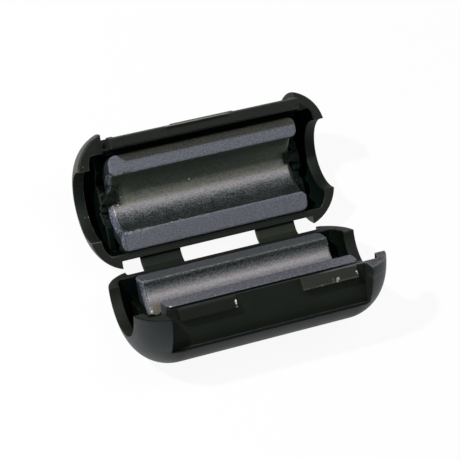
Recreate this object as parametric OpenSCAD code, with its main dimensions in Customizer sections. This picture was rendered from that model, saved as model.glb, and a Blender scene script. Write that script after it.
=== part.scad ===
// Clip-on ferrite bead: a hinged case in two halves, each holding half of a
// split ferrite tube. It lies open on its two round backs.
// Origin: on the surface it lies on, under the hinge line, at mid length.
// X runs along the cable, +Z is up, and the base half lies towards -Y.

/* [Case] */
// Room between the core and the barrel's wall
floor_room = 1.35; // [0.9:0.05:3]
// Length of the room between each core stop and the end wall
end_room = 1.75; // [1:0.05:6]
// Rounding of the outer ends
end_r = 6; // [4:0.25:7]
// Rounding inside the ends of the cavity
end_inner_r = 3; // [1:0.25:4]
// Wall of the barrel and of its ends
wall = 1.7; // [1.3:0.05:2.1]
// Thin wall beside the core, behind the latch and behind the straps
side_wall = 0.95; // [0.7:0.05:1.2]
// Radius of the cable hole in each end
cable_r = 5.1; // [4.3:0.1:5.5]
// Wall left between the end pockets of the cavity and the latch recess
pocket_wall = 0.4; // [0.3:0.05:0.8]
// Gap between the two halves when shut
seam = 0.05; // [0.02:0.01:0.2]

/* [Ferrite core] */
// Length of each half core
core_l = 28.5; // [24:0.1:29.5]
// Outer radius of the core
core_r = 7; // [6.4:0.05:7.4]
// Radius of the channel for the cable
bore_r = 4; // [2.5:0.1:4.6]
// How far the core sits from the case's axis towards the hinge
core_shift = 0.6; // [0:0.05:0.8]
// Rounding of the core's outer end edges
core_end_r = 1.2; // [0.2:0.1:1.6]
// Chamfer along the channel's long edges
bore_chamfer = 0.2; // [0.05:0.05:0.5]
// Gap between the core and the case round it
core_gap = 0.05; // [0.02:0.01:0.15]

/* [Core seats] */
// Thickness of the half-round stop at each end of the core
stop_t = 1; // [0.6:0.1:1.2]
// Gap between the core's end and its stop
stop_gap = 0.1; // [0.05:0.01:0.3]
// Depth of the tops of the stops and seat ribs below the rim
stop_drop = 3.2; // [2:0.1:4]
// Thickness of the ribs that the core rests on
seat_t = 1.2; // [0.8:0.1:2]
// Distance between the two seat ribs
seat_pitch = 17; // [10:0.5:22]
// Width of the post in the middle of each stop
post_w = 4; // [2.5:0.1:6]
// Width of the hook on the post
hook_w = 1.6; // [1:0.1:2.4]
// Reach of the hook over the end of the channel
hook_reach = 1.3; // [0.4:0.1:1.8]
// Thickness of the hook
hook_t = 0.5; // [0.3:0.05:0.9]

/* [Latch] */
// Length of the latch recess and of the hinge flat
recess_l = 29.4; // [29:0.1:30.4]
// Height of the recess in each half
recess_h = 6.05; // [4:0.05:6.2]
// How much the recess deepens from the rim to its ledge
recess_draft = 0.3; // [0:0.05:0.4]
// Clearance at each end of the flap in its recess
flap_gap = 0.55; // [0.2:0.05:0.9]
// Thickness of the flap
flap_t = 1.57; // [1.2:0.01:1.7]
// How far the flap reaches past the rim
flap_drop = 3; // [2.6:0.1:4]
// Height at which the flap runs out into the lid
flap_root = 2.5; // [1.5:0.1:4]
// Straight part of the flap's outer face, up from its tip
flap_straight = 2; // [1:0.1:2.4]
// Clearance between the flap and the recess floor behind it
flap_clear = 0.23; // [0.15:0.01:0.35]
// Lead-in chamfer inside the flap's tip
flap_lead = 0.3; // [0:0.05:0.6]
// Width of the flap's leg at each end, beside its window
leg_end = 0.86; // [0.6:0.02:2]
// Width of the flap's leg in the middle, between its windows
leg_mid = 9.4; // [4:0.1:14]
// How far a catch stands out at its lower edge
catch_out = 0.95; // [0.7:0.05:1.3]
// Height of a catch
catch_h = 1.65; // [1.2:0.05:2]
// Clearance of a catch in its window, at the sides and below
window_gap = 0.12; // [0.08:0.01:0.25]
// Height of the window above the rim
window_rise = 0.5; // [0.2:0.05:1]
// Drop of the keyed rim at the base's left latch corner
key_drop = 0.5; // [0.3:0.05:0.9]
// Reach of the keyed corner towards the case's axis
key_in = 5; // [4.5:0.1:6]

/* [Strap hinge] */
// Angle between the halves as the bead lies open
open_angle = 99.6; // [60:0.1:160]
// Distance of the hinge line behind the hinge flat
pivot_back = 1.43; // [1.2:0.01:2]
// Width of each strap
strap_w = 6.1; // [4:0.1:7]
// Distance between the middles of the two straps
strap_pitch = 17.66; // [12:0.02:20]
// Thickness of a strap
strap_t = 0.5; // [0.3:0.05:0.8]
// Depth of the straps' roots below the rim
strap_root = 0.8; // [0.5:0.05:1.5]

/* [Hidden] */
$fn = 72;
// Reach of a cutting shape past the face it cuts
past = 1;
cavity_r = core_r + floor_room;
body_r = cavity_r + wall;
// Radius in the middle of the wall, where the stops and ribs are rooted
root_r = cavity_r + wall / 2;
latch_in = core_r + core_gap - core_shift;
hinge_in = core_r + core_gap + core_shift;
latch_root = latch_in + side_wall / 2;
hinge_root = hinge_in + side_wall / 2;
latch_face = latch_in + side_wall;
hinge_face = hinge_in + side_wall;
stop_x = core_l / 2 + stop_gap;
cavity_l = 2 * (stop_x + stop_t + end_room);
body_l = cavity_l + 2 * wall;
far = 2 * body_l;
flap_l = recess_l - 2 * flap_gap;
window_l = (flap_l - leg_mid) / 2 - leg_end;
window_x = (leg_mid + window_l) / 2;
flap_in = latch_face + flap_clear;
flap_out = flap_in + flap_t;
// A catch starts this little out at the rim, so its top is a narrow land
catch_land = catch_out / 10;
pivot_y = hinge_face + pivot_back;
tilt = 90 - open_angle / 2;
pivot_z = body_r - pivot_y * sin(tilt);
strap_r = strap_root + pivot_back * tan(open_angle / 2);
strap_turn = 180 - open_angle;

// ---- places -------------------------------------------------------------
// Both halves are drawn in the shut case's frame: axis on X, parting plane at z = 0,
// base below it, latch towards -Y and hinge towards +Y.
module turned(angle)
    translate([0, 0, pivot_z])
        rotate([angle, 0, 0])
            translate([0, -pivot_y, 0])
                children();

module base_place() turned(-tilt) children();

module lid_place() turned(-tilt - open_angle) children();

module on_x() rotate([0, 90, 0]) children();

module along_x(length) rotate([90, 0, 90]) linear_extrude(length, center = true) children();

module box(x, y, z)
    translate([x[0], y[0], z[0]])
        cube([x[1] - x[0], y[1] - y[0], z[1] - z[0]]);

// ---- case ---------------------------------------------------------------
// A round bar on X with rounded ends.
module round_bar(r, length, corner)
    on_x()
        rotate_extrude()
            intersection() {
                translate([0, -length / 2]) square([r, length]);
                union() {
                    translate([0, -length / 2 + corner]) square([r, length - 2 * corner]);
                    translate([0, -length / 2]) square([r - corner, length]);
                    for (side = [-1, 1])
                        translate([r - corner, side * (length / 2 - corner)]) circle(corner);
                }
            }

module cavity()
    intersection() {
        round_bar(cavity_r, cavity_l, end_inner_r);
        union() {
            box([-far, far], [-latch_in, hinge_in], [-far, far]);
            for (side = [0, 1])
                mirror([side, 0, 0])
                    box([stop_x, far], [pocket_wall - latch_face, 0], [-far, far]);
        }
    }

module latch_recess()
    along_x(recess_l)
        polygon([
            [-far, -recess_h],
            [-latch_face + recess_draft, -recess_h],
            [-latch_face, 0],
            [-latch_face + recess_draft, recess_h],
            [-far, recess_h]
        ]);

// The whole case as a closed barrel, before it is parted.
module barrel_shell()
    difference() {
        round_bar(body_r, body_l, end_r);
        cavity();
        on_x() cylinder(r = cable_r, h = body_l + past, center = true);
        latch_recess();
        box([-recess_l / 2, recess_l / 2], [hinge_face, far], [-far, far]);
    }

module key_corner(z) box([-far, -recess_l / 2], [-far, -key_in], z);

// Stops, posts, hooks and seat ribs of one half, grown from the floor below z = 0.
module rib(x, thickness, inner_r, inner_y)
    intersection() {
        translate([x, 0, 0])
            on_x()
                difference() {
                    cylinder(r = root_r, h = thickness, center = true);
                    translate([0, inner_y, 0]) cylinder(r = inner_r, h = thickness + past, center = true);
                }
        box([-far, far], [-latch_root, hinge_root], [-far, -stop_drop]);
    }

module post()
    intersection() {
        box([stop_x, stop_x + stop_t], [-post_w / 2, post_w / 2], [-root_r, -bore_r]);
        on_x() cylinder(r = root_r, h = far, center = true);
    }

module hook()
    intersection() {
        box([core_l / 2 - hook_reach, stop_x + stop_t], [-hook_w / 2, hook_w / 2],
            [-bore_r - past, -bore_r + hook_t]);
        union() {
            translate([0, core_shift, 0])
                on_x()
                    cylinder(r = bore_r - core_gap, h = far, center = true);
            box([stop_x, far], [-far, far], [-far, far]);
        }
    }

module core_seats() {
    for (side = [0, 1])
        mirror([side, 0, 0]) {
            rib(stop_x + stop_t / 2, stop_t, cable_r, 0);
            rib(seat_pitch / 2, seat_t, core_r + core_gap, core_shift);
            post();
            hook();
        }
}

module catch(x)
    translate([x, 0, 0])
        along_x(window_l - 2 * window_gap)
            polygon([
                [-latch_root, -seam / 2],
                [-latch_face - catch_land, -seam / 2],
                [-latch_face - catch_out, -catch_h],
                [-latch_root, -catch_h]
            ]);

module window(x)
    translate([x, 0, 0])
        box([-window_l / 2, window_l / 2], [-far, -latch_face],
            [-catch_h - window_gap, window_rise]);

module latch_flap()
    difference() {
        along_x(flap_l)
            polygon([
                [-latch_root, seam / 2],
                [-flap_in, seam / 2],
                [-flap_in, -flap_drop + flap_lead],
                [-flap_in - flap_lead, -flap_drop],
                [-flap_out, -flap_drop],
                [-flap_out, -flap_drop + flap_straight],
                [-latch_face, flap_root],
                [-latch_root, flap_root]
            ]);
        for (side = [-1, 1])
            window(side * window_x);
    }

// ---- sub-parts ----------------------------------------------------------
module base_shell()
    color("#1d201c")
        base_place() {
            difference() {
                intersection() {
                    barrel_shell();
                    box([-far, far], [-far, far], [-far, -seam / 2]);
                }
                key_corner([-key_drop - seam / 2, past]);
            }
            core_seats();
            for (side = [-1, 1])
                catch(side * window_x);
        }

module lid_shell()
    color("#1d201c")
        lid_place() {
            intersection() {
                barrel_shell();
                union() {
                    box([-far, far], [-far, far], [seam / 2, far]);
                    key_corner([-key_drop + seam / 2, past]);
                }
            }
            mirror([0, 0, 1]) core_seats();
            latch_flap();
        }

module strap(x)
    color("#2a2d28")
        base_place()
            translate([x, hinge_face, strap_r - strap_root])
                along_x(strap_w)
                    intersection() {
                        difference() {
                            circle(strap_r + strap_t / 2);
                            circle(strap_r - strap_t / 2);
                        }
                        polygon([
                            [0, 0],
                            [0, -far],
                            [far * sin(strap_turn / 2), -far * cos(strap_turn / 2)],
                            [far * sin(strap_turn), -far * cos(strap_turn)]
                        ]);
                    }

module strap_left() strap(-strap_pitch / 2);

module strap_right() strap(strap_pitch / 2);

// Half of the ferrite tube, below the parting plane.
module half_core()
    translate([0, core_shift, 0])
        difference() {
            intersection() {
                round_bar(core_r, core_l, core_end_r);
                box([-far, far], [-far, far], [-far, -seam / 2]);
            }
            on_x() cylinder(r = bore_r, h = core_l + past, center = true);
            along_x(core_l + past)
                polygon([
                    [-bore_r - bore_chamfer, -seam / 2],
                    [-bore_r, -seam / 2 - bore_chamfer],
                    [bore_r, -seam / 2 - bore_chamfer],
                    [bore_r + bore_chamfer, -seam / 2],
                    [0, past]
                ]);
        }

module base_core() color("#5d5c66") base_place() half_core();

module lid_core() color("#5d5c66") lid_place() mirror([0, 0, 1]) half_core();

base_shell();
lid_shell();
strap_left();
strap_right();
base_core();
lid_core();
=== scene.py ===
import math
from collections import namedtuple

import bmesh
import bpy
from mathutils import Matrix, Vector, noise


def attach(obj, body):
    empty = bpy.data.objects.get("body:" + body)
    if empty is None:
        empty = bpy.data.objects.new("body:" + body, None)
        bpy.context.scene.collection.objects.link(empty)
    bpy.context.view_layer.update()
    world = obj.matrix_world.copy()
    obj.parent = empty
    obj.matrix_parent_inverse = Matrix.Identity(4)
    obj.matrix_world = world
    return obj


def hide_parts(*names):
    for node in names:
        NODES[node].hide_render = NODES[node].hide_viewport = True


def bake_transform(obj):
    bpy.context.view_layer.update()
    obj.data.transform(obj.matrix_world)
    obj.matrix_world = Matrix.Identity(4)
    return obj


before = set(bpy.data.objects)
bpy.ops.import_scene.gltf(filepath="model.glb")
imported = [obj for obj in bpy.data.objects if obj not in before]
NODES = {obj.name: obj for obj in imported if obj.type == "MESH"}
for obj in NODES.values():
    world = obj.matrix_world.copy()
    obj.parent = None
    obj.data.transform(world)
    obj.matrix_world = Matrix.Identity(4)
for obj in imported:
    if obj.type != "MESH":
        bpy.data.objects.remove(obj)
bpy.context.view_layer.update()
MM = 0.001

# ---- sizes repeated from the part's source, in millimetres ---------------
BODY_R, BODY_L, END_R, CABLE_R = 10.05, 37.6, 6.0, 5.1
CAVITY_END, RECESS_L = 17.1, 29.4
HINGE_FACE, PIVOT_BACK, OPEN_ANGLE = 8.6, 1.43, 99.6
CORE_L, CORE_R, BORE_R, CORE_SHIFT, CORE_END_R = 28.5, 7.0, 4.0, 0.6, 1.2
SEAM, BORE_CHAMFER = 0.05, 0.2
STRAP_W, STRAP_PITCH, STRAP_T, STRAP_ROOT = 6.1, 17.66, 0.5, 0.8
TILT = 90 - OPEN_ANGLE / 2
PIVOT_Y = HINGE_FACE + PIVOT_BACK
PIVOT_Z = BODY_R - PIVOT_Y * math.sin(math.radians(TILT))

# ---- finish of the surfaces, in millimetres ------------------------------
# The case: rounding of its moulded edges, faces this near the outside are its outer skin
EDGE_ROUND, OUTER_SKIN = 0.1, 0.4
# The lid's keyed step is set back this much, so that it clears the base's rim when shut
STEP_RELIEF = 0.04
# The hooks and posts at the channel's ends: where they lie, their mesh, and each noise's scale and push
HOOK_START, HOOK_END, HOOK_RING, HOOK_TOP = CORE_L / 2 - 1.4, CORE_L / 2 + 1.2, 5, -0.4
HOOK_MESH, HOOK_FOLDS = 0.22, 5
HOOK_LUMPS = ((1.9, 0.2), (5.1, 0.12))
# The cores: mesh size, depth of the grain, skin that counts as lapped, groove along the outer long edges
CORE_MESH, GRAIN, LAPPED_SKIN = 0.15, 0.012, 0.11
GROOVE, GROOVE_REACH = 0.16, 0.3
# Chips along an edge: depth, level of the noise at which they start, and reach from the edge
Chips = namedtuple("Chips", "depth start reach")
CLEAN_EDGE, BROKEN_EDGE = Chips(0.2, 0.42, 0.25), Chips(0.18, 0.05, 0.8)
CHIP_GAIN = 2.2
# The cores are broken to the left of this
BROKEN_FROM = -10
# Legs of the chamfers at the left and right ends of the channel
CHANNEL_CUTS = {"base": (0.45, 0), "lid": (0.68, 0.68)}
# The straps: rounding, mesh, share of the thickness lost in the crease, and its share of the length
STRAP_CORNER = STRAP_T * 0.3
STRAP_STEPS, STRAP_STRIPS = 40, 16
CREASE, CREASE_REACH = 0.22, 0.07

# How much light reaches the deep faces of the case, with 1 in the open
POCKET_SHADE, PANEL_SHADE, HOLE_SHADE, FLAP_END_SHADE = 0.0, 0.62, 0.7, 0.8
LEFT_HOOK_SHADE, RIGHT_HOOK_SHADE = 0.3, 0.14
# The pockets beyond the core's ends, the panel behind the base's catches, the cable holes, the flap's ends
POCKET_START, POCKET_END, POCKET_DEPTH = CORE_L / 2 - 1.5, CAVITY_END + 0.2, 0.6
POCKET_LATCH_Y, POCKET_HINGE_Y, POCKET_TOP = -7.15, HINGE_FACE - 0.2, -0.15
PANEL_END, PANEL_Y, PANEL_DEPTH = RECESS_L / 2 - 0.02, -7.15, 0.75
CATCH_TOP, CATCH_FOOT, CATCH_Y = -0.3, -2.1, -7.5
HOLE_START, HOLE_R = CAVITY_END - 0.05, CABLE_R + 0.3
FLAP_END, FLAP_Y, FLAP_RIM = 13.5, -6, 0.1

# Pale nicks seen in the photo: place in the half's own frame, radius, brightness
BASE_CASE_NICKS = [
    ((-4.93, -7.9, -0.79), 0.16, 0.8), ((-5.0, -8.05, -1.08), 0.13, 0.55), ((-5.01, -8.26, -1.48), 0.1, 0.16),
    ((7.6, -8.3, -1.55), 0.13, 0.1), ((9.32, -8.05, -1.05), 0.06, 0.16), ((9.32, -8.12, -1.22), 0.06, 0.16),
    ((9.3, -8.2, -1.4), 0.06, 0.13), ((10.08, -8.13, -1.2), 0.2, 0.3), ((9.92, -8.25, -1.45), 0.16, 0.22),
    ((13.0, -7.9, -0.9), 0.13, 0.5), ((13.05, -8.0, -1.15), 0.1, 0.4), ((13.3, -8.1, -1.5), 0.07, 0.2),
]
LID_CASE_NICKS = [
    ((-18.0, -5.8, 0.45), 0.12, 0.07), ((-18.1, -5.4, 0.3), 0.1, 0.05),
    ((-17.12, 2.2, -4.75), 0.13, 0.5), ((-17.66, 2.12, -4.63), 0.1, 0.07),
]
BASE_CORE_NICKS = [
    ((-13.85, 2.3, -3.7), 0.2, 0.6), ((-13.66, -6.08, -0.05), 0.15, 0.5), ((-7.1, -6.0, -0.05), 0.07, 0.3),
]
LID_CORE_NICKS = [
    ((-12.2, 0.25, -4.0), 0.07, 0.3), ((-12.8, 1.3, -3.95), 0.1, 0.4), ((-12.6, 1.65, -3.85), 0.07, 0.35),
    ((-13.3, 0.9, -4.0), 0.06, 0.3), ((-1.7, -0.12, -3.93), 0.09, 0.7), ((-5.18, 4.58, -0.33), 0.11, 0.6),
    ((-6.5, 4.63, -0.22), 0.09, 0.4), ((-13.5, 4.7, -0.1), 0.1, 0.45),
]

# ---- places --------------------------------------------------------------
# place takes the half's own frame, in millimetres, to the row frame, and inward takes it back.
# The halves' own frame is the shut case's: X along the cable, latch towards -Y, parting plane at z = 0.
Half = namedtuple("Half", "body place inward side")


def half_at(body, angle, side):
    """The half turned by angle about the hinge; side is 1 for the lower half and -1 for the upper one."""
    place = (
        Matrix.Scale(MM, 4)
        @ Matrix.Translation((0, 0, PIVOT_Z))
        @ Matrix.Rotation(math.radians(angle), 4, "X")
        @ Matrix.Translation((0, -PIVOT_Y, 0))
    )
    return Half(body, place, place.inverted(), side)


BASE = half_at("base", -TILT, 1)
LID = half_at("lid", -TILT - OPEN_ANGLE, -1)


def in_half(half, point):
    """A point in the half's own frame, in millimetres, with z below zero inside base and lid alike."""
    spot = half.inward @ point
    return Vector((spot.x, spot.y, half.side * spot.z))


def skin_depth(at):
    """How far a point of a half lies below the case's rounded outside, in millimetres."""
    ring = math.hypot(at.y, at.z)
    past = abs(at.x) - (BODY_L / 2 - END_R)
    return BODY_R - ring if past < 0 else END_R - math.hypot(past, ring - BODY_R + END_R)


def by_hook(at):
    """Whether a point lies where the posts and hooks at the channel's ends are."""
    return abs(at.x) < HOOK_END and math.hypot(at.y - CORE_SHIFT, at.z) < HOOK_RING


# ---- meshes --------------------------------------------------------------
def add_object(name, bm, material, body, node):
    """The mesh as a visible piece in the place of a CAD node."""
    mesh = bpy.data.meshes.new(name)
    bm.to_mesh(mesh)
    bm.free()
    for polygon in mesh.polygons:
        polygon.use_smooth = True
    piece = bpy.data.objects.new(name, mesh)
    bpy.context.scene.collection.objects.link(piece)
    mesh.materials.append(material)
    if body:
        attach(piece, body)
    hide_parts(node)
    return piece


def moulded(node, name, material, half):
    """The node's own solid with its sharp edges rounded; edge, outer, shade and half are for its material."""
    bm = bmesh.new()
    bm.from_mesh(NODES[node].data)
    edge = bm.faces.layers.float.new("edge")
    outer = bm.faces.layers.float.new("outer")
    shade = bm.faces.layers.float.new("shade")
    own_place = bm.verts.layers.float_vector.new("half")
    for face in round_edges(bm):
        face[edge] = 1
    roughen_hooks(bm, half)
    for v in bm.verts:
        at = in_half(half, v.co)
        if half is LID and on_keyed_step(at):
            v.co.x -= STEP_RELIEF * MM
        v[own_place] = at
    for face in bm.faces:
        at = in_half(half, face.calc_center_median())
        face[outer] = 1 if skin_depth(at) < OUTER_SKIN else 0
        face[shade] = light_at(at, half)
    piece = add_object(name, bm, material, half.body, node)
    weighted = piece.modifiers.new("normals", "WEIGHTED_NORMAL")
    weighted.keep_sharp = True
    weighted.weight = 100


def round_edges(bm):
    """Rounds every sharp edge of a CAD solid and gives back the new faces."""
    bmesh.ops.remove_doubles(bm, verts=bm.verts, dist=1e-7)
    bmesh.ops.dissolve_limit(bm, angle_limit=math.radians(1), verts=bm.verts, edges=bm.edges)
    bmesh.ops.dissolve_degenerate(bm, dist=2e-5, edges=bm.edges)
    sharp = [e for e in bm.edges if len(e.link_faces) == 2 and e.calc_face_angle() > math.radians(22)]
    return bmesh.ops.bevel(
        bm, geom=sharp, offset=EDGE_ROUND * MM, offset_type="OFFSET", segments=3, profile=0.5,
        affect="EDGES", clamp_overlap=False, miter_outer="ARC",
    )["faces"]


def on_keyed_step(at):
    """Whether a point of the lid lies on the end face of its keyed corner."""
    return abs(at.x + RECESS_L / 2) < 0.11 and at.y < -6.9 and -0.03 < at.z < 0.6


def light_at(at, half):
    """How much light reaches a face with its middle at this place of its half."""
    depth, along = skin_depth(at), abs(at.x)
    round_catch = at.z < CATCH_FOOT or (at.z < CATCH_TOP and at.y > CATCH_Y)
    if half is BASE and along < PANEL_END and at.y < PANEL_Y and depth > PANEL_DEPTH and round_catch:
        return PANEL_SHADE
    if along > HOLE_START and math.hypot(at.y, at.z) < HOLE_R:
        return HOLE_SHADE
    if along > FLAP_END and at.y < FLAP_Y and at.z > FLAP_RIM:
        return FLAP_END_SHADE
    below_rim = POCKET_LATCH_Y < at.y < POCKET_HINGE_Y and at.z < POCKET_TOP and depth > POCKET_DEPTH
    if not (below_rim and POCKET_START < along < POCKET_END):
        return 1
    if by_hook(at) and at.x > 0:
        return RIGHT_HOOK_SHADE
    if by_hook(at) and half is LID:
        return LEFT_HOOK_SHADE
    return POCKET_SHADE


def roughen_hooks(bm, half):
    """Roughens the small hooks and posts at the channel's ends, which came out of the mould uneven."""
    def near(v):
        at = in_half(half, v.co)
        return by_hook(at) and abs(at.x) > HOOK_START and at.z < HOOK_TOP
    for fold in range(HOOK_FOLDS):
        long = [e for e in bm.edges if all(near(v) for v in e.verts) and e.calc_length() > HOOK_MESH * MM]
        bmesh.ops.subdivide_edges(bm, edges=long, cuts=1, use_grid_fill=True)
        wide = [f for f in bm.faces if len(f.verts) > 4 and any(near(v) for v in f.verts)]
        bmesh.ops.triangulate(bm, faces=wide)
    for v in [v for v in bm.verts if near(v)]:
        at = v.co / MM
        push = Vector()
        for scale, depth in HOOK_LUMPS:
            push += uneven(at * scale) * depth
        v.co += push * MM


def uneven(at):
    """A push in an uneven direction, the same at the same place in every run."""
    return Vector([noise.noise(at + Vector((31.7 * k, 7.3 * k, 0))) for k in range(3)])


def even_mesh(bm, name, size):
    """The same closed shape, rebuilt as an even grid of small faces."""
    mesh = bpy.data.meshes.new(name)
    bm.to_mesh(mesh)
    bm.free()
    rough = bpy.data.objects.new(name, mesh)
    bpy.context.scene.collection.objects.link(rough)
    remesh = rough.modifiers.new("grid", "REMESH")
    remesh.mode = "VOXEL"
    remesh.voxel_size = size
    graph = bpy.context.evaluated_depsgraph_get()
    fine = bmesh.new()
    fine.from_mesh(rough.evaluated_get(graph).data)
    bpy.data.objects.remove(rough)
    return fine


def half_core(node, name, material, half, seed):
    """Half of the sintered tube, grainy and chipped; ground marks its lapped faces for the material."""
    bm = bmesh.new()
    bm.from_mesh(NODES[node].data)
    bmesh.ops.remove_doubles(bm, verts=bm.verts, dist=1e-7)
    bmesh.ops.transform(bm, matrix=half.inward, verts=bm.verts)
    bm = even_mesh(bm, name, CORE_MESH)
    ground = bm.verts.layers.float.new("ground")
    edge = bm.verts.layers.float.new("edge")
    own_place = bm.verts.layers.float_vector.new("half")
    bm.normal_update()
    moves = []
    for v in bm.verts:
        x, y, z = v.co.x, v.co.y - CORE_SHIFT, half.side * v.co.z
        v[own_place] = Vector((x, v.co.y, z))
        radius = math.hypot(y, z)
        to_flat, to_end = z + SEAM / 2, abs(x) - CORE_L / 2
        chips, v[edge] = core_edge(x, y, radius, to_flat, to_end, half)
        cut = channel_cut(x, radius, to_end, half)
        on_end = to_end > -LAPPED_SKIN and radius < CORE_R - CORE_END_R + 0.3
        lapped = to_flat > -LAPPED_SKIN or on_end
        v[ground] = 1.0 if lapped else 0.0
        if cut > 0.02:
            v[ground] = 0.55 if x < 0 else 0.0
        spread = cut / max(radius, 1)
        slide = Vector((-math.copysign(cut, x), y * spread, half.side * z * spread))
        groove = max(0.0, 1 - math.hypot(to_flat, radius - CORE_R) / GROOVE_REACH) * GROOVE
        at = Vector((x, y + seed, z))
        grain = (noise.noise(at * 3.1) * 0.6 + noise.noise(at * 7.3) * 0.4) * GRAIN
        flaked = max(0.0, noise.noise(at * 1.3) + 0.55 * noise.noise(at * 3.7) - chips.start)
        chip = min(flaked * CHIP_GAIN, 1) * chips.depth * v[edge]
        moves.append(slide + v.normal * (grain - groove - chip))
    for v, move in zip(bm.verts, moves):
        v.co += move
    bmesh.ops.transform(bm, matrix=half.place, verts=bm.verts)
    add_object(name, bm, material, half.body, node)


def core_edge(x, y, radius, to_flat, to_end, half):
    """The kind of chips at a point of the core, and how near its sharp edges the point is, from 0 to 1."""
    to_channel = math.inf
    if to_flat > -1:
        to_channel = math.hypot(to_flat, abs(y) - BORE_R - BORE_CHAMFER / 2)
    to_end_edge = min(math.hypot(to_end, radius - BORE_R), 2.2 * math.hypot(to_end, to_flat))
    broken = x < BROKEN_FROM and (to_end_edge < to_channel or half is LID)
    chips = BROKEN_EDGE if broken else CLEAN_EDGE
    return chips, max(0.0, 1 - min(to_channel, to_end_edge) / chips.reach)


def channel_cut(x, radius, to_end, half):
    """How far a point near the channel's end moves to make the chamfer there."""
    leg = CHANNEL_CUTS[half.body][x > 0]
    return max(0.0, leg - max(0.0, -to_end) - max(0.0, radius - BORE_R)) / 2


def strap_section():
    """Points round the strap's section, across and through it, with rounded corners and even long sides."""
    wide, high = STRAP_W / 2 - STRAP_CORNER, STRAP_T / 2 - STRAP_CORNER
    outline = []
    for cx, cy, start in ((1, 1, 0), (-1, 1, 90), (-1, -1, 180), (1, -1, 270)):
        for k in range(4):
            a = math.radians(start + 30 * k)
            outline.append((cx * wide + STRAP_CORNER * math.cos(a), cy * high + STRAP_CORNER * math.sin(a)))
    points = []
    for (xa, ra), (xb, rb) in zip(outline, outline[1:] + outline[:1]):
        strips = STRAP_STRIPS if abs(xb - xa) > 1 else 1
        points += [(xa + (xb - xa) * k / strips, ra + (rb - ra) * k / strips) for k in range(strips)]
    return points


def strap(node, name, material, middle, dim):
    """A living hinge: an arc of webbing from the base's flat to the lid's, creased thin at its middle."""
    turn = math.radians(180 - OPEN_ANGLE)
    radius = STRAP_ROOT + PIVOT_BACK * math.tan(math.radians(OPEN_ANGLE / 2))
    bm = bmesh.new()
    edge = bm.verts.layers.float.new("edge")
    shade = bm.verts.layers.float.new("shade")
    own_place = bm.verts.layers.float_vector.new("half")
    rows = []
    for i in range(STRAP_STEPS + 1):
        t = i / STRAP_STEPS
        a = turn * t
        thin = 1 - CREASE * math.exp(-(((t - 0.5) / CREASE_REACH) ** 2))
        row = []
        for x, r in strap_section():
            bow = radius + r * thin
            y, z = HINGE_FACE + bow * math.sin(a), radius - STRAP_ROOT - bow * math.cos(a)
            v = bm.verts.new(BASE.place @ Vector((middle + x, y, z)))
            v[edge] = 1.0 if abs(x) > STRAP_W / 2 - STRAP_CORNER else 0.0
            # Painted shade: the strap is marked darker towards the lid.
            v[shade] = 1 - dim * t
            v[own_place] = Vector((middle + x, bow * a, r))
            row.append(v)
        rows.append(row)
    for low, high in zip(rows, rows[1:]):
        for k in range(len(low)):
            n = (k + 1) % len(low)
            bm.faces.new((low[k], low[n], high[n], high[k]))
    bm.faces.new(rows[0][::-1])
    bm.faces.new(rows[-1])
    bmesh.ops.recalc_face_normals(bm, faces=bm.faces)
    piece = add_object(name, bm, material, None, node)
    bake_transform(piece)


# ---- shader nodes --------------------------------------------------------
class Shader:
    """A procedural material on the Principled shader, with short names for the nodes that it uses."""

    def __init__(self, name):
        self.material = bpy.data.materials.new(name)
        self.material.use_nodes = True
        self.tree = self.material.node_tree
        self.bsdf = self.tree.nodes["Principled BSDF"]

    def put(self, value, socket):
        """Links another socket to this one, or sets a number, a vector or a colour on it."""
        if isinstance(value, bpy.types.NodeSocket):
            self.tree.links.new(value, socket)
        elif isinstance(value, tuple) and len(value) < len(socket.default_value):
            socket.default_value = value + (1,)
        else:
            socket.default_value = value

    def set(self, **inputs):
        """Puts values on the Principled shader; an underscore in a name stands for a space."""
        for name, value in inputs.items():
            self.put(value, self.bsdf.inputs[name.replace("_", " ")])

    def add(self, kind, **inputs):
        """A new node with the named inputs; an underscore in a name stands for a space."""
        node = self.tree.nodes.new("ShaderNode" + kind)
        for name, value in inputs.items():
            self.put(value, node.inputs[name.replace("_", " ")])
        return node

    def math(self, how, a, b=0.0):
        node = self.add("Math")
        node.operation = how
        self.put(a, node.inputs[0])
        self.put(b, node.inputs[1])
        return node.outputs[0]

    def product(self, first=1.0, *rest):
        for other in rest:
            first = self.math("MULTIPLY", first, other)
        return first

    def range(self, value, low, high):
        """0 where value is at low, 1 where it is at high, held beyond both."""
        return self.add("MapRange", Value=value, From_Min=low, From_Max=high).outputs["Result"]

    def ramp(self, value, *stops):
        """A colour or grey for a value from 0 to 1, between the colours or greys at the stops."""
        node = self.add("ValToRGB", Fac=value)
        elements = node.color_ramp.elements
        while len(elements) < len(stops):
            elements.new(0.5)
        for element, (at, colour) in zip(elements, stops):
            element.position = at
            element.color = (*colour, 1) if isinstance(colour, tuple) else (colour, colour, colour, 1)
        return node.outputs["Color"]

    def blend(self, share, low, high):
        """A number between low and high."""
        node = self.add("Mix", Factor=share)
        self.put(low, node.inputs[2])
        self.put(high, node.inputs[3])
        return node.outputs[0]

    def mix(self, share, low, high, how="MIX"):
        """A colour between low and high."""
        node = self.add("Mix")
        node.data_type = "RGBA"
        node.blend_type = how
        for value, socket in ((share, 0), (low, 6), (high, 7)):
            self.put(value, node.inputs[socket])
        return node.outputs[2]

    def bump(self, height, distance):
        return self.add("Bump", Height=height, Distance=distance * MM)


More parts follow.
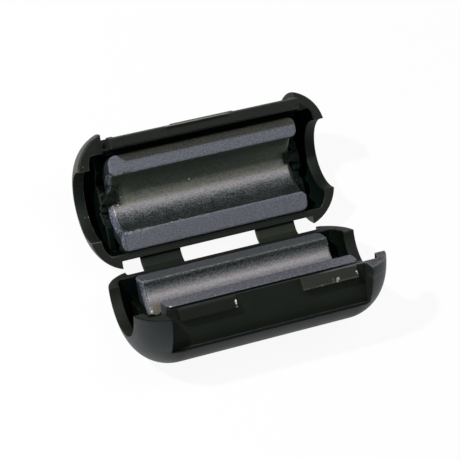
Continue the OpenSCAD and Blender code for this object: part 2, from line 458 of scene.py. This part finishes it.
class HalfShader(Shader):
    """A material laid out in a half's own frame, which is kept with the mesh as the attribute half."""

    def __init__(self, name):
        super().__init__(name)
        where = self.add("Attribute")
        where.attribute_name = "half"
        self.where = where.outputs["Vector"]
        x, y, z = self.add("SeparateXYZ", Vector=self.where).outputs
        self.values = {"x": x, "y": y, "z": z, "along": self.math("ABSOLUTE", x)}

    def value(self, name):
        """x, y, z, or along for the distance from mid length; or a value that is kept with the mesh."""
        if name not in self.values:
            node = self.add("Attribute")
            node.attribute_name = name
            self.values[name] = node.outputs["Fac"]
        return self.values[name]

    def noise(self, scale, detail=2.0, roughness=0.5, stretch=None):
        where = self.where
        if stretch:
            where = self.add("Mapping", Vector=where, Scale=stretch).outputs[0]
        node = self.add("TexNoise", Vector=where, Scale=scale, Detail=detail, Roughness=roughness)
        return node.outputs["Fac"]

    def zone(self, **sides):
        """1 in a soft-edged region and 0 outside: (start, full) or (start, full, full, end) on each value."""
        parts = []
        for name, reach in sides.items():
            parts.append(self.range(self.value(name), *reach[:2]))
            if len(reach) == 4:
                parts.append(self.range(self.value(name), reach[3], reach[2]))
        return self.product(*parts)


class Layers:
    """A colour built up in layers; each layer's share is the product of the shares given."""

    def __init__(self, shader, colour):
        self.shader = shader
        self.colour = colour

    def paint(self, colour, *shares):
        """Covers what is below."""
        self.colour = self.shader.mix(self.shader.product(*shares), self.colour, colour)

    def tint(self, colour, *shares):
        """Multiplies what is below."""
        self.colour = self.shader.mix(self.shader.product(*shares), self.colour, colour, "MULTIPLY")

    def nick(self, nicks):
        """Pale uneven spots at the given places."""
        m = self.shader
        wobble = m.math("SUBTRACT", m.noise(6, 2), 0.5)
        for spot, size, pale in nicks:
            gap = m.add("VectorMath")
            gap.operation = "DISTANCE"
            m.put(m.where, gap.inputs[0])
            m.put(spot, gap.inputs[1])
            reach = m.math("ADD", gap.outputs["Value"], m.product(wobble, size * 2))
            self.paint((pale, pale, pale), m.range(reach, size * 1.4, size * 0.8), 0.9)


# ---- black moulded nylon -------------------------------------------------
class Plastic(HalfShader):
    """Black moulded nylon with a faint spark-eroded grain, scuffed, and rubbed in patches at its edges."""

    def __init__(self, name, pocket_shade_tint, hole_shade_tint):
        """The two tints are painted shade for the faces deepest in the case and inside the cable holes."""
        super().__init__(name)
        self.broad = self.noise(0.22, 3)
        self.patchy = self.ramp(self.noise(1.1, 4, 0.65), (0.35, 0.15), (0.62, 1.0))
        self.wear = self.product(self.value("edge"), self.patchy)
        self.coat = Layers(self, self.mix(self.broad, (0.0056, 0.0072, 0.0038), (0.0118, 0.0138, 0.0078)))
        self.coat.tint(self.ramp(self.noise(3.2, 3, 0.7), (0.3, 0.72), (0.7, 1.3)))
        self.coat.paint((0.0088, 0.0108, 0.0125), self.value("outer"), 0.8)
        self.coat.paint((0.030, 0.033, 0.031), self.wear, 0.45)
        scuffs = self.noise(1.6, 5, 0.7, stretch=(0.25, 3, 3))
        self.coat.paint((0.03, 0.032, 0.033), self.ramp(scuffs, (0.6, 0.0), (0.72, 1.0)), 0.16)
        # Painted shade: faces that the shade value marks as getting less light are tinted darker, teal in the
        # pockets.
        self.coat.tint(self.ramp(
            self.value("shade"),
            (0.0, pocket_shade_tint),
            (0.3, (0.42, 0.5, 0.38)),
            (PANEL_SHADE, (0.62, 0.74, 0.6)),
            (HOLE_SHADE, hole_shade_tint),
            (FLAP_END_SHADE, (0.84, 0.82, 0.68)),
            (1.0, (1.0, 1.0, 1.0)),
        ))
        # zones that shine less or are smoother than the rest, each with its share
        self.dull = []
        self.smooth = [(self.wear, 0.2), (self.value("outer"), 0.14)]

    def paint_crevice_shade(self, gap_end):
        """Paints shade into the gap on each side of the core, up to gap_end along it, and into the stops at
        its ends.
        """
        # Painted shade: the slits beside the core are painted near black and shine less.
        latch_gap = self.zone(y=(-7.3, -7.15, -0.2, 0.0), z=(-0.5, -0.3, 0.1, 0.2), along=gap_end)
        hinge_gap = self.zone(y=(7.3, 7.45, 7.75, 8.0), z=(-0.5, -0.3), along=(14.3, 13.4))
        gap_shade = self.math("MAXIMUM", latch_gap, self.product(hinge_gap, 0.6))
        self.coat.paint((0.0008, 0.0014, 0.0015), gap_shade, 0.9)
        # Painted shade: the stops and pocket walls beyond the core's ends are painted near black and shine
        # less.
        stops = self.zone(
            along=(13.6, 13.9, 17.05, 17.15), y=(-7.1, -6.9, 8.2, 8.35), z=(-0.15, -0.3),
            outer=(0.5, 0.4), shade=(0.85, 0.95),
        )
        self.coat.paint((0.0012, 0.003, 0.003), stops)
        self.dull += [(gap_shade, 0.9), (stops, 0.9)]

    def finish(self, nicks):
        """Links everything to the shader and gives back the material."""
        self.coat.nick(nicks)
        rough = self.math("ADD", 0.56, self.product(self.broad, 0.16))
        for zone, share in self.smooth:
            rough = self.math("SUBTRACT", rough, self.product(zone, share))
        self.set(Base_Color=self.coat.colour, Roughness=rough, Specular_Tint=(0.86, 0.95, 1.0))
        # Painted shade also lowers the gloss where the shade value says less light reaches.
        gloss = self.math("ADD", 0.06, self.product(self.value("shade"), 0.34))
        for zone, share in self.dull:
            gloss = self.product(gloss, self.math("SUBTRACT", 1.0, self.product(zone, share)))
        # the number stands in for the link where a model is exported
        self.set(Specular_IOR_Level=0.36)
        self.set(Specular_IOR_Level=gloss)
        ripple = self.bump(self.noise(0.35, 2), 0.05)
        grain = self.bump(self.noise(9, 3, 0.6), 0.006)
        self.put(ripple.outputs["Normal"], grain.inputs["Normal"])
        self.set(Normal=grain.outputs["Normal"])
        return self.material


def base_plastic():
    """The base half: painted light on the rim at its right end, a painted highlight on the faces at its right
    corner, a pale line along its lip, dull round the left catch and underneath.
    """
    m = Plastic("case_black_base", pocket_shade_tint=(0.25, 0.42, 0.42), hole_shade_tint=(0.8, 0.78, 0.6))
    m.paint_crevice_shade(gap_end=(14.1, 14.0))
    catches = m.zone(y=(-7.5, -7.7), z=(-2.1, -1.9), along=(14.3, 14.1))
    left_to_right = m.ramp(m.zone(x=(-2, 4)), (0.0, (0.5, 0.44, 0.28)), (1.0, (1.2, 1.15, 0.75)))
    m.coat.tint(left_to_right, catches)
    belly = m.product(m.value("outer"), m.zone(z=(-5.6, -6.0), along=(16.5, 13.5)))
    m.coat.tint((0.85, 0.85, 0.85), belly)
    # Painted light: the rim at the right end is painted paler, in patches.
    right_end_light = m.zone(x=(13.5, 15), z=(-0.3, -0.1))
    m.coat.paint((0.045, 0.041, 0.049), right_end_light, m.patchy, 0.8)
    # Painted highlight: the glare on the faces at the right corner is painted pale, in patches.
    right_corner_glare = m.zone(x=(11.5, 15), y=(-3.5, -5.5), z=(-0.3, -0.1))
    m.coat.paint((0.115, 0.105, 0.125), right_corner_glare, m.patchy, 0.9)
    under_catch = m.zone(x=(3.5, 5), y=(-7.9, -8.1), z=(-1.36, -1.5, -1.8, -1.95))
    m.coat.paint((0.07, 0.07, 0.055), under_catch, m.patchy, 0.6)
    left_edge = m.product(m.value("edge"), m.zone(x=(-12.5, -13.5), y=(-3.5, -4.5)), 0.9)
    m.coat.paint((0.008, 0.0098, 0.008), left_edge)
    lip = m.product(m.value("edge"), m.zone(x=(7.2, 9.6), y=(-5, -6.5), z=(-0.5, -0.2)))
    m.coat.paint((0.13, 0.135, 0.145), lip, 0.8)
    left_catch = m.product(catches, m.zone(x=(4, -2)))
    m.dull += [(left_edge, 1.0), (left_catch, 0.5), (belly, 0.65)]
    return m.finish(BASE_CASE_NICKS)


def lid_plastic():
    """The lid half: a painted highlight on the edges at its left end, painted shade on the outside of its
    left cap with a painted highlight along its rim, a polished patch on its flap.
    """
    m = Plastic("case_black_lid", pocket_shade_tint=(0.2, 0.55, 0.68), hole_shade_tint=(0.52, 0.62, 0.46))
    m.paint_crevice_shade(gap_end=(15.1, 14.9))
    # Painted highlight: the edges at the left end are painted pale, in patches along their wear.
    m.coat.paint((0.12, 0.12, 0.11), m.wear, m.zone(x=(-14.5, -17)), 0.7)
    # Painted shade: the outside of the left cap is tinted darker and shines less.
    left_cap = m.product(m.value("outer"), m.zone(x=(-15.2, -16.2), y=(1, -2), z=(-5.2, -3.6)))
    m.coat.tint((0.5, 0.52, 0.42), left_cap)
    # Painted highlight: a pale band along the rim of the left cap.
    rim = m.zone(y=(-2.8, -5), z=(-0.1, -0.35))
    m.coat.paint((0.075, 0.077, 0.068), left_cap, rim, 0.9)
    m.dull.append((left_cap, 0.7))
    flap_tip = m.zone(x=(-6.2, -5.8, 3.5, 3.8), y=(-8.6, -8.9), z=(2.2, 2.5))
    m.smooth.append((flap_tip, 0.36))
    return m.finish(LID_CASE_NICKS)


def strap_plastic():
    """The straps: the right one is painted a little paler, a painted light."""
    m = Plastic("case_black_strap", pocket_shade_tint=(0.25, 0.42, 0.42), hole_shade_tint=(0.8, 0.78, 0.6))
    # Painted light: the right strap is tinted paler.
    m.coat.tint((1.4, 1.5, 1.2), m.zone(x=(4, 6)))
    return m.finish([])


# ---- sintered ferrite ----------------------------------------------------
class Ferrite(HalfShader):
    """Sintered ferrite: lapped flats and ends are dull and grainy, fired faces dark with a satin skin."""

    def __init__(self, name, coarse_side):
        """The channel's sheen turns from satin to coarse grain between the two y of coarse_side."""
        super().__init__(name)
        self.ground = self.value("ground")
        self.grain = self.noise(3.4, 3, 0.7)
        self.fine = self.noise(5.2, 2, 0.6)
        self.hue = self.noise(2.1, 2, 0.5)
        self.coarse = self.zone(y=coarse_side)
        self.ends = self.zone(along=(14.02, 14.16), z=(-0.1, -0.3))
        self.channel_left = self.zone(x=(-10.8, -13.4), y=(-3.1, -2.7, 2.6, 3.6))
        crack = self.zone(x=(-13.56, -13.64, -13.78, -13.86), y=(-3.6, -3.3))
        self.crack = self.product(crack, self.ramp(self.hue, (0.3, 1.0), (0.65, 0.3)))

    def lapped_faces(self, coarse_share, contrast, latch_shade, hinge_shade):
        """Grey mottled flats, darker in their pits, with painted shade setting the level of each side of the
        channel.
        """
        mottled = self.blend(coarse_share, self.fine, self.noise(2.3, 3, 0.7))
        mottled = self.ramp(mottled, (0.5 - contrast, 0.0), (0.5 + contrast, 1.0))
        self.lapped = Layers(self, self.mix(mottled, (0.022, 0.023, 0.029), (0.184, 0.188, 0.226)))
        pits = self.ramp(self.noise(4.2, 2, 0.6), (0.3, 1.0), (0.4, 0.0))
        self.lapped.paint((0.04, 0.04, 0.046), pits, 0.6)
        self.lapped.tint((0.93, 0.97, 1.12), self.ramp(self.hue, (0.35, 0.0), (0.65, 1.0)))
        # Painted shade: each side of the channel is dimmed to the light it gets, the base's hinge side most.
        self.lapped.tint(self.ramp(self.zone(y=(3.4, 5.2)), (0.0, latch_shade), (1.0, hinge_shade)))

    def whole(self, wear):
        """Joins the lapped faces and the fired skin in one coat, with pale worn edges."""
        self.lapped.paint((0.008, 0.012, 0.017), self.ends, 0.92)
        mottled = self.ramp(self.grain, (0.35, 0.0), (0.65, 1.0))
        skin = self.mix(mottled, (0.0045, 0.0058, 0.0045), (0.014, 0.0155, 0.014))
        self.coat = Layers(self, self.mix(self.ground, skin, self.lapped.colour))
        patchy = self.ramp(self.noise(2.2, 4, 0.7), (0.42, 0.0), (0.6, 1.0))
        self.coat.paint((0.26, 0.28, 0.28), self.zone(edge=(0.4, 0.75)), patchy, wear)

    def broken_end(self, bare, *left_face):
        """The chipped left end: its bare chamfer, zones of its end face with their colours, and the crack."""
        self.chamfer = self.zone(edge=(0.02, 0.14), x=(-13.1, -13.4), y=(-3.6, -3.2))
        self.coat.paint(bare, self.chamfer)
        for colour, reach in left_face:
            self.coat.paint(colour, self.zone(x=(-13.95, -14.15), y=reach))
        self.coat.paint((0.004, 0.005, 0.007), self.crack, 0.8)

    def salt(self, *shares):
        """Pale crumbs on the chamfer of the left end, and a few on its end face."""
        few = self.product(self.zone(x=(-13.95, -14.15), y=(-3.6, -3.2)), 0.1)
        crumbs = self.ramp(self.noise(4.4, 2, 0.6), (0.52, 0.0), (0.58, 1.0))
        uncracked = self.math("SUBTRACT", 1.0, self.crack)
        there = self.math("MAXIMUM", self.chamfer, few)
        self.coat.paint((0.3, 0.33, 0.42), there, crumbs, uncracked, *shares)

    def fired_sheen(self, teal):
        """The colour that the fired faces shine in: neutral to grainy, teal in one zone, dim by the latch."""
        satin = self.ramp(self.grain, (0.36, 0.7), (0.6, 1.0))
        grainy = self.ramp(self.fine, (0.42, 0.25), (0.58, 1.0))
        self.sheen = Layers(self, self.mix(self.coarse, satin, grainy))
        tinge = self.ramp(self.noise(0.5, 3, 0.6), (0.42, (1.0, 0.95, 1.02)), (0.68, (1.0, 0.97, 0.95)))
        self.sheen.tint(tinge)
        self.sheen.tint((0.76, 0.88, 0.9), teal)
        self.sheen.tint((0.78, 0.88, 0.82), self.zone(y=(0.9, -0.5)))

    def finish(self, satin, nicks):
        """Links everything to the shader and gives back the material; satin is the fired faces' roughness."""
        self.coat.nick(nicks)
        rough = self.blend(self.ground, self.math("ADD", satin, self.product(self.grain, 0.16)), 0.82)
        self.set(Base_Color=self.coat.colour, Roughness=rough, IOR=3.2)
        self.sheen.paint((0.05, 0.05, 0.06), self.crack, 0.8)
        shoulders = self.math("MAXIMUM", self.zone(y=(-3.5, -3.7)), self.zone(y=(4.75, 4.95)))
        pitted = self.ramp(self.fine, (0.45, 0.12), (0.66, 0.6))
        self.sheen.tint(pitted, self.zone(x=(-12.9, -13.3)), shoulders)
        self.sheen.paint(self.mix(self.ends, (0.4, 0.4, 0.44), (0.08, 0.09, 0.11)), self.ground)
        # the grey stands in for the link where a model is exported
        self.set(Specular_Tint=(0.5, 0.5, 0.5))
        self.set(Specular_Tint=self.sheen.colour)
        relief = self.math("ADD", 0.22, self.product(self.coarse, 0.6))
        relief = self.math("MAXIMUM", relief, self.ground)
        bumpy = self.bump(self.product(self.noise(3.4, 4, 0.7), relief), 0.11)
        self.set(Normal=bumpy.outputs["Normal"])
        return self.material


def base_ferrite():
    """The base's core: painted shade on its hinge side and painted light on its latch-side flat's right end,
    its channel paler and warmer towards the broken left end.
    """
    m = Ferrite("ferrite_base", coarse_side=(4.0, 4.6))
    m.lapped_faces(0.85, 0.14, latch_shade=(0.6664, 0.6528, 0.6324), hinge_shade=(0.25676, 0.2976, 0.23715))
    # Painted light: the right end of the latch-side flat is painted lighter.
    m.lapped.tint((1.5, 1.5, 1.5), m.zone(x=(9, 14), y=(-3, -4)))
    m.whole(wear=0.75)
    m.coat.paint((0.11, 0.105, 0.075), m.channel_left, m.zone(z=(-0.5, -0.9)), 0.75)
    m.broken_end(
        (0.03, 0.034, 0.041),
        ((0.03, 0.034, 0.036), (-3.2, -3.6, -5.5, -5.7)),
        ((0.006, 0.008, 0.014), (-5.5, -5.7)),
    )
    m.salt(m.ramp(m.zone(x=(-14.2, -13.9)), (0.0, 0.35), (1.0, 1.0)), 0.65)
    m.fired_sheen(teal=m.zone(y=(4.2, 4.5)))
    m.sheen.tint((0.5, 0.53, 0.5), m.zone(y=(3, 4), z=(-1.3, -0.6)))
    m.sheen.tint((1.0, 0.92, 0.68), m.channel_left)
    return m.finish(0.41, BASE_CORE_NICKS)


def lid_ferrite():
    """The lid's core: a painted olive bounce light in the flap's shadow along its latch side, sooty at the
    channel's left end, blotched by the hinge.
    """
    m = Ferrite("ferrite_lid", coarse_side=(1.2, 3.2))
    m.lapped_faces(0.15, 0.21, latch_shade=(0.95, 0.975, 0.93), hinge_shade=(0.86, 0.885, 0.84))
    # Painted light: the flap's shadow on the latch-side flat is tinted olive, as light thrown back by the
    # flap.
    m.lapped.tint((1.1, 1.12, 0.58), m.zone(x=(-12.0, -11.6), y=(-4.9, -5.6)))
    m.whole(wear=0.4)
    bare = m.ramp(m.zone(y=(-0.5, 2.5)), (0.0, (0.016, 0.022, 0.02)), (1.0, (0.034, 0.039, 0.058)))
    m.broken_end(bare, ((0.018, 0.022, 0.02), (3.9, 4.9, 6.2, 6.6)))
    m.salt(0.5)
    teal = m.zone(y=(2.3, 3.2))
    m.fired_sheen(teal)
    m.sheen.tint(m.ramp(m.noise(1.1, 3, 0.6, stretch=(0.5, 1, 1)), (0.4, 0.72), (0.6, 1.15)), teal)
    m.sheen.tint((0.95, 1.0, 0.84), m.zone(y=(1.7, 1.0)))
    soot = m.zone(x=(-11.6, -12.5), y=(-2.2, -1.6, 1.1, 1.9))
    m.sheen.tint(m.ramp(m.fine, (0.42, 0.06), (0.64, 0.55)), soot)
    satin = m.math("ADD", 0.35, m.product(m.zone(y=(2.0, 0.7)), 0.13))
    return m.finish(satin, LID_CORE_NICKS)


# ---- the bead ------------------------------------------------------------
moulded("base_shell", "case_base", base_plastic(), BASE)
moulded("lid_shell", "case_lid", lid_plastic(), LID)
half_core("base_core", "core_base", base_ferrite(), BASE, seed=0)
half_core("lid_core", "core_lid", lid_ferrite(), LID, seed=40)
webbing = strap_plastic()
strap("strap_left", "web_left", webbing, -STRAP_PITCH / 2, dim=0.6)
strap("strap_right", "web_right", webbing, STRAP_PITCH / 2, dim=0.3)

# ---- floor, light and camera, in metres ----------------------------------
FLOOR_HALF, FLOOR_LIFT = 2.0, 0.93
AIM = Vector((0, 0, 0.01))
# name, place, size across and up, power in watts
LAMPS = (
    ("key_left", (-0.2, 0.021, 0.296), (0.016, 0.016), 1.1),
    ("top_right", (0.128, -0.044, 0.386), (0.2, 0.15), 0.46),
    ("back_low", (-0.12, 0.38, 0.07), (0.2, 0.1), 0.22),
    ("front_left", (-0.19, -0.3, 0.175), (0.15, 0.12), 0.1),
    ("right_low", (0.34, -0.19, 0.07), (0.12, 0.1), 0.07),
)
WORLD_LIGHT = 0.02
CAM_PLACE = Vector((-0.088871, -0.130350, 0.247308))
CAM_FORWARD = Vector((0.315706, 0.435841, -0.842836))
CAM_ROLL, CAM_SENSOR, CAM_LENS, CAM_SHIFT = 17.617, 36, 158.76, (-0.03754, 0.08545)


def pale_floor():
    """A pale floor that keeps the shadows; seen directly or mirrored it is lifted towards white."""
    m = Shader("floor")
    m.set(Base_Color=(0.9, 0.9, 0.9), Roughness=0.9, Specular_IOR_Level=0.1)
    rays = m.add("LightPath")
    seen = m.math("MAXIMUM", rays.outputs["Is Camera Ray"], rays.outputs["Is Glossy Ray"])
    seen = m.math("MAXIMUM", seen, rays.outputs["Is Transmission Ray"])
    glow = m.add("Emission", Strength=1.0)
    lifted = m.add("MixShader")
    m.put(m.math("MULTIPLY", seen, FLOOR_LIFT), lifted.inputs[0])
    m.put(m.bsdf.outputs[0], lifted.inputs[1])
    m.put(glow.outputs[0], lifted.inputs[2])
    m.put(lifted.outputs[0], m.tree.nodes["Material Output"].inputs["Surface"])
    mesh = bpy.data.meshes.new("floor")
    r = FLOOR_HALF
    mesh.from_pydata([(-r, -r, 0), (r, -r, 0), (r, r, 0), (-r, r, 0)], [], [(0, 1, 2, 3)])
    mesh.materials.append(m.material)
    floor = bpy.data.objects.new("floor", mesh)
    bpy.context.scene.collection.objects.link(floor)


def turned(right, up, back, place):
    """The matrix of a lamp or camera at place, from its three directions."""
    return Matrix.Translation(place) @ Matrix((right, up, back)).transposed().to_4x4()


def lamp(name, place, size, watts):
    """A rectangular softbox turned towards the bead, its long side level."""
    light = bpy.data.lights.new(name, "AREA")
    light.shape = "RECTANGLE"
    light.size, light.size_y = size
    light.energy = watts
    box = bpy.data.objects.new(name, light)
    away = (Vector(place) - AIM).normalized()
    side = Vector((1, 0, 0)) if abs(away.x) < 0.5 else away.cross(Vector((0, 0, 1))).normalized()
    side = (side - away * side.dot(away)).normalized()
    box.matrix_world = turned(side, away.cross(side), away, place)
    box.visible_camera = False
    bpy.context.scene.collection.objects.link(box)


def photo_camera():
    """The camera that took the photo: long lens, rolled, with a small shift."""
    forward = CAM_FORWARD.normalized()
    level = forward.cross(Vector((0, 0, 1))).normalized()
    upright = level.cross(forward)
    roll = math.radians(CAM_ROLL)
    right = math.cos(roll) * level + math.sin(roll) * upright
    up = math.cos(roll) * upright - math.sin(roll) * level
    data = bpy.data.cameras.new("camera")
    data.sensor_width = CAM_SENSOR
    data.lens = CAM_LENS
    data.shift_x, data.shift_y = CAM_SHIFT
    data.clip_start = 0.01
    camera = bpy.data.objects.new("camera", data)
    camera.matrix_world = turned(right, up, -forward, CAM_PLACE)
    bpy.context.scene.collection.objects.link(camera)
    bpy.context.scene.camera = camera


def faint_world():
    """A faint even light from all sides."""
    world = bpy.data.worlds.new("studio")
    world.use_nodes = True
    background = world.node_tree.nodes["Background"]
    background.inputs["Color"].default_value = (1, 1, 1, 1)
    background.inputs["Strength"].default_value = WORLD_LIGHT
    bpy.context.scene.world = world


pale_floor()
for softbox in LAMPS:
    lamp(*softbox)
faint_world()
photo_camera()
bpy.context.scene.view_settings.view_transform = "Standard"
